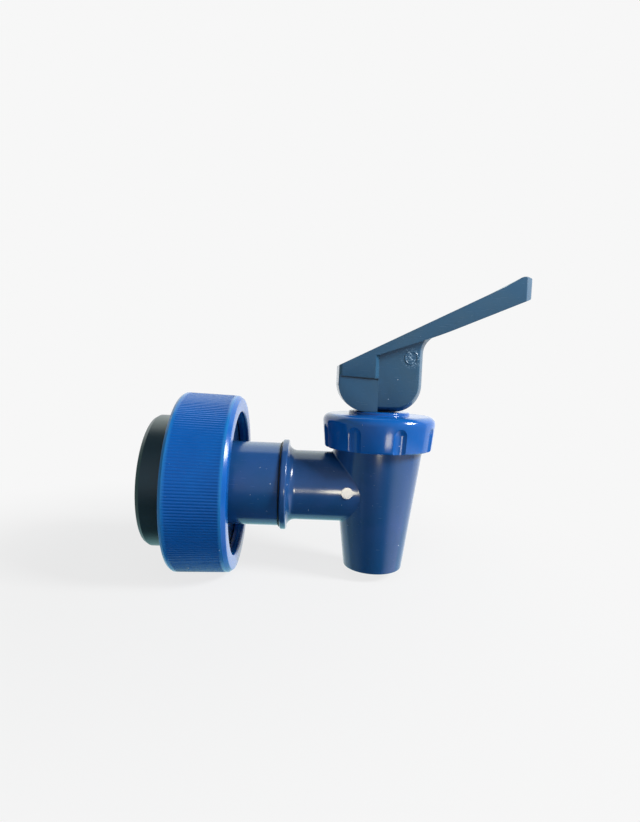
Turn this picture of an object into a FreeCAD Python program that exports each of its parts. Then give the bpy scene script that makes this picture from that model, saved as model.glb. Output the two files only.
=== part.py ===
import FreeCAD, Part
import math
import os

# Self-closing lever tap for the neck of a drinking-water filter vessel.
# Units are millimetres. +Z is up and +X points out of the vessel.
# The origin is on the shank's axis, in the plane where the brim of the rubber
# plug seals on the rim of the vessel's neck.

# Clearances between pieces
SLIDE_GAP = 0.08
THREAD_GAP = 0.06
REST_GAP = 0.10
FACE_GAP = 0.05
SLOT_GAP = 0.20
NUT_PLAY = 0.30
FLANGE_PLAY = 1.3

# How far a cutter runs past the face that it opens
PAST = 1.0

# Rubber plug behind the nut
PLUG_R = 19.7
PLUG_REACH = 16.8
PLUG_EDGE_LENGTH = 1.2
PLUG_EDGE_DEPTH = 0.7
BRIM_T = 2.5
PLUG_RECESS_DEPTH = 2.6
PLUG_RECESS_LIP = 2.0
PLUG_RECESS_FLARE = 1.4

# Flanged adapter that carries the nut and the tap
FLANGE_T = 3.0
ADAPTER_WALL = 2.98
ADAPTER_LENGTH = 15.7
ADAPTER_FILLET_R = 0.8
TAIL_BORE_R = 7.5
TAIL_WALL = 3.1
BARB_HEIGHT = 1.1
BARB_LENGTH = 2.6

# Loose coupling nut
NUT_LENGTH = 17.3
NUT_BORE_R = 24.4
NUT_FRONT_WALL = 2.0
NUT_REAR_WALL = 2.45
NUT_LIP_T = 3.0
NUT_LIP_REACH = 2.85
NUT_EDGE = 0.5
NUT_REAR_CHAMFER = 0.8

# Thin gasket between the adapter and the bead
GASKET_T = 0.45
GASKET_LAP = 0.36

# Tap body: shank, bead and neck
SHANK_R = 9.5
SHANK_LENGTH = 17.0
SHANK_CHAMFER = 0.8
WATERWAY_R = 6.75
NECK_R = 10.5
BEAD_RISE = 3.36
BEAD_WIDTH = 1.9
BEAD_ROUND = 0.8
NECK_FILLET = 3.0
NECK_LENGTH = 26.85
GATE_R = 1.65
GATE_HEIGHT = 0.15
GATE_BACK = 9.4

# Tap body: barrel and spout
BARREL_R = 11.98
BARREL_TAPER = 0.13
BARREL_RISE = 12.3
SPOUT_DROP = 24.2
SPOUT_EDGE = 0.5
SPOUT_WALL = 2.2
CHAMBER_WALL = 2.5
CHAMBER_TAPER = 0.07
FLOOR_DROP = 9.0
FLOOR_T = 2.6
SEAT_PORT_R = 4.6
SEAT_LIP_T = 1.1
SEAT_LIP_HEIGHT = 1.2
TOP_STEP = 0.3
TOP_RISE = 6.7

# Bonnet
BONNET_WALL = 2.8
BONNET_LEAN = 0.10
BONNET_ROOF_T = 2.0
BONNET_ROUND = 2.2
BONNET_EDGE = 0.4
LAND_R = 9.2
LAND_HEIGHT = 0.95
GUIDE_R = 5.9
GUIDE_LENGTH = 9.4
FLUTE_COUNT = 8
FLUTE_TURN = 14.8
FLUTE_R = 2.0
FLUTE_DEPTH = 0.8
FLUTE_TOP_GAP = 4.5

# Soft seat cup
CUP_RIM_T = 1.5
CUP_RIM_INSET = 0.9
CUP_TOP_R = 9.3
CUP_WAIST_R = 7.0
CUP_WALL = 1.0
CUP_FOOT_R = 6.6
CUP_FOOT_HEIGHT = 4.4
CUP_FOOT_ROUND = 0.5
CUP_WAIST_RISE = 1.0
CUP_WAIST_STEP = 0.4

# Stem, its eye and its foot
STEM_R = 3.0
SHOULDER_R = 5.2
SHOULDER_T = 2.0
FOOT_R = 3.0
FOOT_T = 1.3
FOOT_ROUND = 0.4
FOOT_NECK_R = 1.9
FOOT_NECK_LENGTH = 1.6
EYE_R = 3.3
EYE_WIDTH = 5.0
FLAT_DEPTH = 2.6

# Spring and washer
WASHER_T = 0.6
WASHER_R = 5.4
SPRING_R = 4.55
WIRE_R = 0.45
WIRE_SIDES = 8
SPRING_TURNS = 5.5

# Lever: block that rocks on the bonnet's land
PIN_HEIGHT = 9.5
PIN_R = 1.5
PIN_SKIN = 1.3
PIN_INSET = 0.25
PIN_CHAMFER = 0.2
BLOCK_WIDTH = 11.5
BLOCK_BACK = 13.1
BLOCK_FRONT = 11.8
BLOCK_CORNER_R = 8.2
BLOCK_EDGE = 1.2
SLOT_BACK = 3.7
SLOT_FRONT_TOP = 4.2
SLOT_FRONT_BOTTOM = 10.2
SLOT_TOP_GAP = 0.5
SLOT_KNEE_DROP = 0.5
SLOT_CORNER_R = 0.8

# Lever: arm with its skirt over the back of the block
ARM_WIDTH = 15.5
ARM_REACH = 42.2
ARM_SLOPE = 27.46
ARM_BACK_HEIGHT = 13.18
ARM_ROOT_DEPTH = 2.3
ARM_BEND_X = 16.4
ARM_BEND_DEPTH = 5.35
ARM_TIP_HEIGHT = 5.95
ARM_BEND_R = 110.0
FLARE_LENGTH = 5.1
FLARE_RISE = 0.5
FLARE_R = 14.0
TIP_FLAT = 3.6
TIP_ROUND = 1.2
TIP_EDGE_R = 0.7
TIP_CORNER_R = 3.3
BACK_CORNER_R = 1.2
SKIRT_FRONT = 2.1
SKIRT_BACK_HEIGHT = 10.3
SKIRT_FRONT_HEIGHT = 9.7
SKIRT_BEVEL = 1.0
ARM_FILLET_R = 3.4
SINK = 1.0
ARM_WALL = 1.8
ARM_ROOF_T = 2.3
ARM_RIB_T = 1.6
POCKET_START = 17.5
TIP_WALL = 2.4
POCKET_CORNER_R = 0.6
MARK_R = 2.1
MARK_RING_T = 0.5
MARK_HEIGHT = 0.12
MARK_X = 8.0
MARK_RISE = 16.1

# Places along the shank, worked out from the sizes above
flange_front_x = BRIM_T + FLANGE_T
lip_rear_x = flange_front_x + NUT_PLAY
nut_front_x = lip_rear_x + NUT_LIP_T
nut_rear_x = nut_front_x - NUT_LENGTH
adapter_front_x = flange_front_x + ADAPTER_LENGTH
adapter_floor_x = adapter_front_x - SHANK_LENGTH - SHANK_CHAMFER
bead_rear_x = adapter_front_x + GASKET_T
bead_front_x = bead_rear_x + BEAD_WIDTH
shank_rear_x = bead_rear_x - SHANK_LENGTH
spout_x = bead_front_x + NECK_LENGTH
tail_rear_x = PLUG_RECESS_LIP - PLUG_REACH

# Heights above the shank's axis
floor_z = -FLOOR_DROP
seat_z = floor_z + SEAT_LIP_HEIGHT
top_z = BARREL_RISE + TOP_RISE
roof_z = top_z + CUP_RIM_T
bonnet_top_z = roof_z + BONNET_ROOF_T
land_z = bonnet_top_z + LAND_HEIGHT
guide_end_z = land_z - GUIDE_LENGTH
cup_foot_top_z = seat_z + CUP_FOOT_HEIGHT
shoulder_z = cup_foot_top_z + FACE_GAP
shoulder_top_z = shoulder_z + SHOULDER_T
washer_z = shoulder_top_z + FACE_GAP
washer_top_z = washer_z + WASHER_T
block_z = land_z + REST_GAP
pin_z = land_z + PIN_HEIGHT

# Widths worked out from the sizes above
socket_r = SHANK_R + THREAD_GAP
adapter_r = socket_r + ADAPTER_WALL
gasket_r = adapter_r + GASKET_LAP
bead_r = NECK_R + BEAD_RISE
flange_r = NUT_BORE_R - FLANGE_PLAY
tail_r = TAIL_BORE_R + TAIL_WALL
barb_r = tail_r + BARB_HEIGHT
top_r = BARREL_R + BARREL_TAPER * BARREL_RISE - TOP_STEP
bonnet_bore_r = top_r + THREAD_GAP
bonnet_base_r = bonnet_bore_r + BONNET_WALL
bonnet_base_z = BARREL_RISE
spout_bore_r = BARREL_R - BARREL_TAPER * SPOUT_DROP - SPOUT_WALL
stem_bore_r = STEM_R + SLIDE_GAP


def barrel_r(z):
    """Outer radius of the tapered barrel at height z."""
    return BARREL_R + BARREL_TAPER * z


def chamber_r(z):
    """Radius of the valve chamber at height z."""
    return BARREL_R - CHAMBER_WALL + CHAMBER_TAPER * z


def along_shank(x, r):
    """Point of a profile that turns round the shank's axis."""
    return FreeCAD.Vector(x, 0, r)


def along_barrel(r, z):
    """Point of a profile that turns round the barrel's axis."""
    return FreeCAD.Vector(spout_x + r, 0, z)


def lever_side(x, z):
    """Point of a lever outline: x from the barrel's axis, z from the block's foot."""
    return FreeCAD.Vector(spout_x + x, 0, block_z + z)


def corner_points(before, corner, after, radius):
    """Start, middle and end of the arc that rounds a corner."""
    back = (before - corner).normalize()
    ahead = (after - corner).normalize()
    half = back.getAngle(ahead) / 2
    reach = radius / math.tan(half)
    towards_centre = (back + ahead).normalize()
    centre = corner + towards_centre * (radius / math.sin(half))
    middle = centre - towards_centre * radius
    return corner + back * reach, middle, corner + ahead * reach


def outline(corners, place):
    """Closed wire through corners of (u, v) or (u, v, rounding radius)."""
    spots = [place(c[0], c[1]) for c in corners]
    radii = [c[2] if len(c) > 2 else 0 for c in corners]
    edges = []
    last = None
    first = None
    for i, (spot, radius) in enumerate(zip(spots, radii)):
        start = spot
        end = spot
        arc = None
        if radius:
            start, middle, end = corner_points(spots[i - 1], spot, spots[(i + 1) % len(spots)], radius)
            arc = Part.Arc(start, middle, end).toShape()
        if last is not None and last.distanceToPoint(start) > 1e-6:
            edges.append(Part.makeLine(last, start))
        if first is None:
            first = start
        if arc is not None:
            edges.append(arc)
        last = end
    if last.distanceToPoint(first) > 1e-6:
        edges.append(Part.makeLine(last, first))
    return Part.Wire(edges)


def turned_on_shank(corners):
    """Solid turned round the shank's axis from corners of (x, r)."""
    face = Part.Face(outline(corners, along_shank))
    return face.revolve(FreeCAD.Vector(), FreeCAD.Vector(1, 0, 0), 360)


def turned_on_barrel(corners):
    """Solid turned round the barrel's axis from corners of (r, z)."""
    face = Part.Face(outline(corners, along_barrel))
    return face.revolve(FreeCAD.Vector(spout_x, 0, 0), FreeCAD.Vector(0, 0, 1), 360)


def slab(corners, width, middle_y=0.0):
    """Plate cut to a lever outline, as wide as given across Y."""
    face = Part.Face(outline(corners, lever_side))
    plate = face.extrude(FreeCAD.Vector(0, width, 0))
    plate.translate(FreeCAD.Vector(0, middle_y - width / 2, 0))
    return plate


def across(radius, x, z, y_from, y_to):
    """Round bar along Y at a place given from the barrel's axis and the shank."""
    start = FreeCAD.Vector(spout_x + x, y_from, z)
    return Part.makeCylinder(radius, y_to - y_from, start, FreeCAD.Vector(0, 1, 0))


def upright(radius, z_from, z_to):
    """Round bar on the barrel's axis."""
    return Part.makeCylinder(radius, z_to - z_from, FreeCAD.Vector(spout_x, 0, z_from))


def make_neck_plug():
    """Rubber plug: brim, straight body, and a recess that shows the barb."""
    body_rear = -PLUG_REACH
    recess_x = body_rear + PLUG_RECESS_DEPTH + BARB_LENGTH
    recess_r = barb_r + REST_GAP
    return turned_on_shank([
        (BRIM_T, tail_r),
        (BRIM_T, flange_r),
        (0, flange_r),
        (0, PLUG_R),
        (body_rear + PLUG_EDGE_LENGTH, PLUG_R),
        (body_rear, PLUG_R - PLUG_EDGE_DEPTH),
        (body_rear, recess_r + PLUG_RECESS_FLARE),
        (body_rear + PLUG_RECESS_DEPTH, recess_r),
        (recess_x, recess_r),
        (recess_x, tail_r),
    ])


def make_flanged_sleeve():
    """Adapter: front socket for the shank, flange, and barbed tail in the plug."""
    barb_front = tail_rear_x + BARB_LENGTH
    return turned_on_shank([
        (adapter_floor_x, TAIL_BORE_R),
        (adapter_floor_x, socket_r),
        (adapter_front_x, socket_r),
        (adapter_front_x, adapter_r),
        (flange_front_x, adapter_r, ADAPTER_FILLET_R),
        (flange_front_x, flange_r),
        (BRIM_T, flange_r),
        (BRIM_T, tail_r),
        (barb_front, tail_r),
        (barb_front, barb_r),
        (tail_rear_x, tail_r),
        (tail_rear_x, TAIL_BORE_R),
    ])


def make_coupling_nut():
    """Loose nut: tapered rim, plain bore where its thread runs, and front lip."""
    rear_r = NUT_BORE_R + NUT_REAR_WALL
    hole_r = NUT_BORE_R - NUT_LIP_REACH
    return turned_on_shank([
        (nut_rear_x, NUT_BORE_R + NUT_REAR_CHAMFER),
        (nut_rear_x, rear_r - NUT_EDGE),
        (nut_rear_x + NUT_REAR_CHAMFER, rear_r),
        (nut_front_x, NUT_BORE_R + NUT_FRONT_WALL, NUT_EDGE),
        (nut_front_x, hole_r, NUT_EDGE),
        (lip_rear_x, hole_r),
        (lip_rear_x, NUT_BORE_R),
        (nut_rear_x + NUT_REAR_CHAMFER, NUT_BORE_R),
    ])


def make_shank_gasket():
    """Thin flat ring squeezed between the adapter and the bead."""
    return turned_on_shank([
        (adapter_front_x, SHANK_R),
        (adapter_front_x, gasket_r),
        (bead_rear_x, gasket_r),
        (bead_rear_x, SHANK_R),
    ])


def body_shank():
    """Shank, bead and neck in one turned shape, up to the barrel's axis."""
    return turned_on_shank([
        (shank_rear_x, 0),
        (shank_rear_x, SHANK_R - SHANK_CHAMFER),
        (shank_rear_x + SHANK_CHAMFER, SHANK_R),
        (bead_rear_x, SHANK_R),
        (bead_rear_x, bead_r, BEAD_ROUND),
        (bead_front_x, bead_r, BEAD_ROUND),
        (bead_front_x, NECK_R, NECK_FILLET),
        (spout_x, NECK_R),
        (spout_x, 0),
    ])


def body_barrel():
    """Tapered barrel and spout with the narrower top that the bonnet covers."""
    return turned_on_barrel([
        (0, -SPOUT_DROP),
        (barrel_r(-SPOUT_DROP), -SPOUT_DROP, SPOUT_EDGE),
        (barrel_r(BARREL_RISE), BARREL_RISE),
        (top_r, BARREL_RISE),
        (top_r, top_z),
        (0, top_z),
    ])


def body_chamber():
    """Space inside the barrel, above the floor and round the seat's lip."""
    lip_r = SEAT_PORT_R + SEAT_LIP_T
    above = top_z + PAST
    below = floor_z - FLOOR_T - PAST
    return turned_on_barrel([
        (SEAT_PORT_R, below),
        (SEAT_PORT_R, seat_z),
        (lip_r, seat_z),
        (lip_r, floor_z),
        (chamber_r(floor_z), floor_z),
        (chamber_r(above), above),
        (0, above),
        (0, below),
    ])


def make_faucet_body():
    """Moulded tap body with its waterway, valve chamber, seat and spout bore."""
    body = body_shank().fuse(body_barrel())
    gate = across(GATE_R, -GATE_BACK, 0, -NECK_R - GATE_HEIGHT, -NECK_R + SINK)
    body = body.fuse(gate)
    inlet = FreeCAD.Vector(shank_rear_x - PAST, 0, 0)
    waterway = Part.makeCylinder(WATERWAY_R, spout_x - inlet.x, inlet, FreeCAD.Vector(1, 0, 0))
    lip = upright(SEAT_PORT_R + SEAT_LIP_T, floor_z - FLOOR_T, seat_z)
    spout_bore = upright(spout_bore_r, -SPOUT_DROP - PAST, floor_z - FLOOR_T)
    return body.cut(waterway.cut(lip)).cut(body_chamber()).cut(spout_bore)


def bonnet_flute():
    """One round-topped grip groove, leaning with the bonnet's side, at +X."""
    lean = math.degrees(math.atan(BONNET_LEAN))
    height = bonnet_top_z - FLUTE_TOP_GAP - bonnet_base_z
    groove = Part.makeCylinder(FLUTE_R, height + PAST, FreeCAD.Vector(0, 0, -PAST))
    groove = groove.fuse(Part.makeSphere(FLUTE_R, FreeCAD.Vector(0, 0, height)))
    groove.rotate(FreeCAD.Vector(), FreeCAD.Vector(0, 1, 0), lean)
    offset = bonnet_base_r + FLUTE_R - FLUTE_DEPTH
    groove.translate(FreeCAD.Vector(offset, 0, bonnet_base_z))
    return groove


def make_bonnet():
    """Screw cap: fluted skirt, round land on top, and a guide for the stem."""
    side_top_r = bonnet_base_r + BONNET_LEAN * (bonnet_top_z - bonnet_base_z)
    cap = turned_on_barrel([
        (stem_bore_r, guide_end_z),
        (GUIDE_R, guide_end_z),
        (GUIDE_R, roof_z),
        (bonnet_bore_r, roof_z),
        (bonnet_bore_r, bonnet_base_z),
        (bonnet_base_r, bonnet_base_z, BONNET_EDGE),
        (side_top_r, bonnet_top_z, BONNET_ROUND),
        (LAND_R, bonnet_top_z),
        (LAND_R, land_z, BONNET_EDGE),
        (stem_bore_r, land_z),
    ])
    step = 360.0 / FLUTE_COUNT
    for i in range(FLUTE_COUNT):
        groove = bonnet_flute()
        groove.rotate(FreeCAD.Vector(), FreeCAD.Vector(0, 0, 1), FLUTE_TURN + step * i)
        groove.translate(FreeCAD.Vector(spout_x, 0, 0))
        cap = cap.cut(groove)
    return cap


def make_seat_cup():
    """Soft cup: clamped rim, thin wall, and a solid foot that closes the seat."""
    rim_r = top_r - CUP_RIM_INSET
    pocket_r = FOOT_R + REST_GAP
    pocket_neck_r = FOOT_NECK_R + REST_GAP
    foot_top_z = shoulder_z - FOOT_NECK_LENGTH
    foot_bottom_z = foot_top_z - FOOT_T
    waist_z = cup_foot_top_z + CUP_WAIST_RISE
    return turned_on_barrel([
        (0, seat_z),
        (CUP_FOOT_R, seat_z, CUP_FOOT_ROUND),
        (CUP_FOOT_R, waist_z - CUP_WAIST_STEP),
        (CUP_WAIST_R, waist_z + CUP_WAIST_STEP),
        (CUP_TOP_R, top_z),
        (rim_r, top_z),
        (rim_r, roof_z),
        (CUP_TOP_R - CUP_WALL, roof_z),
        (CUP_WAIST_R - CUP_WALL, waist_z),
        (CUP_WAIST_R - CUP_WALL, cup_foot_top_z),
        (pocket_neck_r, cup_foot_top_z),
        (pocket_neck_r, foot_top_z + REST_GAP),
        (pocket_r, foot_top_z + REST_GAP),
        (pocket_r, foot_bottom_z - REST_GAP),
        (0, foot_bottom_z - REST_GAP),
    ])


def make_valve_stem():
    """Stem: snap-in foot, spring shoulder, round rod, and a flat eye for the pin."""
    foot_top_z = shoulder_z - FOOT_NECK_LENGTH
    foot_bottom_z = foot_top_z - FOOT_T
    rod = turned_on_barrel([
        (0, foot_bottom_z),
        (FOOT_R, foot_bottom_z, FOOT_ROUND),
        (FOOT_R, foot_top_z),
        (FOOT_NECK_R, foot_top_z),
        (FOOT_NECK_R, shoulder_z),
        (SHOULDER_R, shoulder_z),
        (SHOULDER_R, shoulder_top_z),
        (STEM_R, shoulder_top_z),
        (STEM_R, pin_z),
        (0, pin_z),
    ])
    rod = rod.fuse(across(EYE_R, 0, pin_z, -EYE_R, EYE_R))
    flat_from_z = land_z - FLAT_DEPTH
    corner = FreeCAD.Vector(spout_x - 2 * EYE_R, EYE_WIDTH / 2, flat_from_z)
    side = Part.makeBox(4 * EYE_R, 2 * EYE_R, 3 * PIN_HEIGHT, corner)
    other = side.mirror(FreeCAD.Vector(), FreeCAD.Vector(0, 1, 0))
    hole = across(PIN_R + FACE_GAP, 0, pin_z, -EYE_R - PAST, EYE_R + PAST)
    return rod.cut(side).cut(other).cut(hole)


def make_spring_washer():
    """Flat ring between the spring and the stem's shoulder."""
    ring = upright(WASHER_R, washer_z, washer_top_z)
    return ring.cut(upright(stem_bore_r, washer_z - PAST, washer_top_z + PAST))


def wire_section():
    """Section of the spring's wire, with narrow flats that keep the coil light."""
    corners = []
    for i in range(WIRE_SIDES + 1):
        turn = 2 * math.pi * i / WIRE_SIDES
        corners.append(FreeCAD.Vector(SPRING_R + WIRE_R * math.cos(turn), 0, WIRE_R * math.sin(turn)))
    return Part.makePolygon(corners)


def make_return_spring():
    """Open-ended compression spring between the washer and the bonnet's guide."""
    base_z = washer_top_z + FACE_GAP
    rise = guide_end_z - base_z - 2 * WIRE_R
    path = Part.Wire(Part.makeHelix(rise / SPRING_TURNS, rise, SPRING_R))
    coil = path.makePipeShell([wire_section()], True, True)
    coil.translate(FreeCAD.Vector(spout_x, 0, base_z + WIRE_R))
    return coil


def arm_top(x):
    """Height of the straight part of the arm's top above the block's foot."""
    return ARM_BACK_HEIGHT + (x + BLOCK_BACK) * math.tan(math.radians(ARM_SLOPE))


def arm_underside(x):
    """Height of the arm's underside behind its bend, above the block's foot."""
    root_z = arm_top(-SKIRT_FRONT) - ARM_ROOT_DEPTH
    bend_z = arm_top(ARM_BEND_X) - ARM_BEND_DEPTH
    return root_z + (bend_z - root_z) * (x + SKIRT_FRONT) / (ARM_BEND_X + SKIRT_FRONT)


def arm_corners():
    """Side outline of the arm and the skirt behind it."""
    flat_x = ARM_REACH - TIP_FLAT
    flare_x = flat_x - FLARE_LENGTH
    tip_top = arm_top(flat_x) + FLARE_RISE
    return [
        (-BLOCK_BACK, ARM_BACK_HEIGHT),
        (flare_x, arm_top(flare_x), FLARE_R),
        (flat_x, tip_top, 2 * TIP_ROUND),
        (ARM_REACH, tip_top, TIP_EDGE_R),
        (ARM_REACH, tip_top - ARM_TIP_HEIGHT, TIP_ROUND),
        (ARM_BEND_X, arm_top(ARM_BEND_X) - ARM_BEND_DEPTH, ARM_BEND_R),
        (-SKIRT_FRONT, arm_top(-SKIRT_FRONT) - ARM_ROOT_DEPTH),
        (-SKIRT_FRONT, SKIRT_FRONT_HEIGHT),
        (-BLOCK_BACK, SKIRT_BACK_HEIGHT),
    ]


def arm_plan():
    """Upright bar that gives the arm its corners and the skirt its bevel in plan."""
    half = ARM_WIDTH / 2
    corners = [
        (-BLOCK_BACK, -half, BACK_CORNER_R),
        (ARM_REACH, -half, TIP_CORNER_R),
        (ARM_REACH, half, TIP_CORNER_R),
        (-BLOCK_BACK, half, BACK_CORNER_R),
    ]
    wire = outline(corners, lambda x, y: FreeCAD.Vector(spout_x + x, y, block_z))
    return Part.Face(wire).extrude(FreeCAD.Vector(0, 0, 2 * ARM_REACH))


def skirt_bevels():
    """Wedges that slope the skirt's front ends back towards the block."""
    half = ARM_WIDTH / 2
    inner = BLOCK_WIDTH / 2
    top = arm_top(-SKIRT_FRONT) - ARM_ROOT_DEPTH
    wedges = []
    for side in (-1, 1):
        points = [
            (-SKIRT_FRONT - SKIRT_BEVEL, side * half),
            (-SKIRT_FRONT, side * half),
            (-SKIRT_FRONT, side * inner),
        ]
        wire = outline(points, lambda x, y: FreeCAD.Vector(spout_x + x, y, block_z))
        wedges.append(Part.Face(wire).extrude(FreeCAD.Vector(0, 0, top)))
    return wedges


def arm_pockets():
    """Two open pockets under the arm, with a rib between them."""
    flat_x = ARM_REACH - TIP_FLAT
    end_x = ARM_REACH - TIP_WALL
    end_top = arm_top(flat_x) - ARM_ROOF_T
    corners = [
        (POCKET_START, arm_top(POCKET_START) - 3 * ARM_BEND_DEPTH),
        (POCKET_START, arm_top(POCKET_START) - ARM_ROOF_T, POCKET_CORNER_R),
        (flat_x, end_top),
        (end_x, end_top, POCKET_CORNER_R),
        (end_x, end_top - 3 * ARM_TIP_HEIGHT),
    ]
    width = (ARM_WIDTH - ARM_RIB_T) / 2 - ARM_WALL
    middle = (width + ARM_RIB_T) / 2
    return [slab(corners, width, -middle), slab(corners, width, middle)]


def lever_block():
    """Rounded block that rocks on the land, with its fillet up to the arm."""
    underside = arm_underside(BLOCK_FRONT)
    tail_x = BLOCK_FRONT + 2 * ARM_FILLET_R
    corners = [
        (-BLOCK_BACK, 0, BLOCK_CORNER_R),
        (BLOCK_FRONT, 0, BLOCK_CORNER_R),
        (BLOCK_FRONT, underside, ARM_FILLET_R),
        (tail_x, arm_underside(tail_x) + SINK),
        (tail_x, arm_top(tail_x) - ARM_ROOT_DEPTH / 2),
        (-BLOCK_BACK, arm_top(-BLOCK_BACK) - ARM_ROOT_DEPTH / 2),
    ]
    block = slab(corners, BLOCK_WIDTH)
    return block.makeFillet(BLOCK_EDGE, rim_edges(block, underside))


def rim_edges(block, top):
    """Edges of the block's two side faces that lie below the arm."""
    picked = []
    for edge in block.Edges:
        box = edge.BoundBox
        flat = abs(abs(box.YMin) - BLOCK_WIDTH / 2) < 1e-6 and box.YLength < 1e-6
        below = box.ZMax < block_z + top + ARM_FILLET_R
        if flat and below:
            picked.append(edge)
    return picked


def stem_slot():
    """Slot for the stem's eye, wide enough in front for the lever to tilt."""
    above = PIN_HEIGHT - REST_GAP
    top = above + EYE_R + SLOT_TOP_GAP
    corners = [
        (-SLOT_BACK, -PAST),
        (-SLOT_BACK, top, SLOT_CORNER_R),
        (SLOT_FRONT_TOP, top, SLOT_CORNER_R),
        (SLOT_FRONT_TOP, above - SLOT_KNEE_DROP),
        (SLOT_FRONT_BOTTOM, -PAST),
    ]
    return slab(corners, EYE_WIDTH + 2 * SLOT_GAP)


def pin_span():
    """Y of the pin hole's blind end and of the block's far side."""
    blind_y = -BLOCK_WIDTH / 2 + PIN_SKIN
    return blind_y, BLOCK_WIDTH / 2


def make_lever():
    """Lever: ribbed arm and skirt over the slotted rocking block."""
    lever = slab(arm_corners(), ARM_WIDTH + 2 * PAST).common(arm_plan())
    for cutter in skirt_bevels() + arm_pockets():
        lever = lever.cut(cutter)
    lever = lever.fuse(lever_block())
    blind_y, far_y = pin_span()
    lever = lever.cut(stem_slot()).cut(across(PIN_R, 0, pin_z, blind_y, far_y + PAST))
    near_y = -BLOCK_WIDTH / 2
    mark_z = block_z + MARK_RISE
    ring = across(MARK_R, MARK_X, mark_z, near_y - MARK_HEIGHT, near_y + SINK)
    inside = across(MARK_R - MARK_RING_T, MARK_X, mark_z, near_y - PAST, near_y)
    return lever.fuse(ring.cut(inside)).removeSplitter()


def make_lever_pin():
    """Plain pin through the stem's eye, pushed in from the far side."""
    blind_y, far_y = pin_span()
    pin = across(PIN_R, 0, pin_z, blind_y, far_y - PIN_INSET)
    return pin.makeChamfer(PIN_CHAMFER, pin.Edges)


MAKERS = {
    "faucet_body": make_faucet_body,
    "bonnet": make_bonnet,
    "lever": make_lever,
    "lever_pin": make_lever_pin,
    "valve_stem": make_valve_stem,
    "return_spring": make_return_spring,
    "spring_washer": make_spring_washer,
    "seat_cup": make_seat_cup,
    "shank_gasket": make_shank_gasket,
    "flanged_sleeve": make_flanged_sleeve,
    "coupling_nut": make_coupling_nut,
    "neck_plug": make_neck_plug,
}


def main():
    os.makedirs("parts", exist_ok=True)
    for name, make in MAKERS.items():
        shape = make()
        shape.exportStep(f"parts/{name}.step")
        box = shape.BoundBox
        print(
            f"{name}: {len(shape.Solids)} solid, valid {shape.isValid()}, {shape.Volume:.1f} mm3, "
            f"X {box.XMin:.2f}..{box.XMax:.2f}, Y {box.YMin:.2f}..{box.YMax:.2f}, "
            f"Z {box.ZMin:.2f}..{box.ZMax:.2f}"
        )


main()
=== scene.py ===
import math

import bmesh
import bpy
from mathutils import Matrix, Vector


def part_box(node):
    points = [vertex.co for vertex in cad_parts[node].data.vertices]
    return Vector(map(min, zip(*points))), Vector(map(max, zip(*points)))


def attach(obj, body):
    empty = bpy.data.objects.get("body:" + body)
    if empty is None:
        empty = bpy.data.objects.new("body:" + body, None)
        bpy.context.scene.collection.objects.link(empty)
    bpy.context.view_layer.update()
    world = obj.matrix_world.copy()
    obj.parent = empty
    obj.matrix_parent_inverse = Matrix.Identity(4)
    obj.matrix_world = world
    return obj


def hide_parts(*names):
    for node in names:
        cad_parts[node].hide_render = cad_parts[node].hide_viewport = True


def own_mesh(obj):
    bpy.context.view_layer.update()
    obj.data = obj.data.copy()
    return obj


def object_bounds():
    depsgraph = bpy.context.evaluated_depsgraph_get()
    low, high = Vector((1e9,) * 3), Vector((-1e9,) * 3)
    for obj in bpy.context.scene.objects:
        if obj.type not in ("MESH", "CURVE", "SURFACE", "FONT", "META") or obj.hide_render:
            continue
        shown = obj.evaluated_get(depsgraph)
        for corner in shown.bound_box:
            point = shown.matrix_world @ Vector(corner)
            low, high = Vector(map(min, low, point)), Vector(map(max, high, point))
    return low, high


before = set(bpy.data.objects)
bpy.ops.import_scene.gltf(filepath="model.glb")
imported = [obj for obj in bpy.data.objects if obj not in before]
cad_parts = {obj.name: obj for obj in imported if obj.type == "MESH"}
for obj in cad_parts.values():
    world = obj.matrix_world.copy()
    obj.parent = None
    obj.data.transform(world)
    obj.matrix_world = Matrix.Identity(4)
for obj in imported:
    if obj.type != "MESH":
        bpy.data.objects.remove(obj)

cad_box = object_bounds()
MM = 0.001


# The studio. A pale floor lies just under the coupling nut, which is the lowest
# piece, and the same pale tone surrounds everything. The camera stands where the
# photograph was taken from, close by and a little above the neck.
def place_node(tree, kind, inputs=None, **settings):
    """Adds a node and gives each named input a value or another node's output."""
    made = tree.nodes.new(kind)
    for name, value in settings.items():
        setattr(made, name, value)
    for name, value in (inputs or {}).items():
        if isinstance(value, bpy.types.NodeSocket):
            tree.links.new(value, made.inputs[name])
        else:
            made.inputs[name].default_value = value
    return made


def paint(red, green, blue):
    """Linear colour from a paint chip given as 0 to 255 display values."""
    def linear(value):
        share = value / 255
        return share / 12.92 if share <= 0.04045 else ((share + 0.055) / 1.055) ** 2.4
    return (linear(red), linear(green), linear(blue), 1.0)


def maths(tree, operation, first, second):
    """Works out one number from two."""
    return place_node(tree, "ShaderNodeMath", {0: first, 1: second}, operation=operation).outputs["Value"]


def backdrop_rays(tree):
    """Light Path's outputs, and a mask of the rays that show the backdrop as it is."""
    ray = place_node(tree, "ShaderNodeLightPath").outputs
    return ray, maths(tree, "MAXIMUM", ray["Is Camera Ray"], ray["Is Transmission Ray"])


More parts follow.
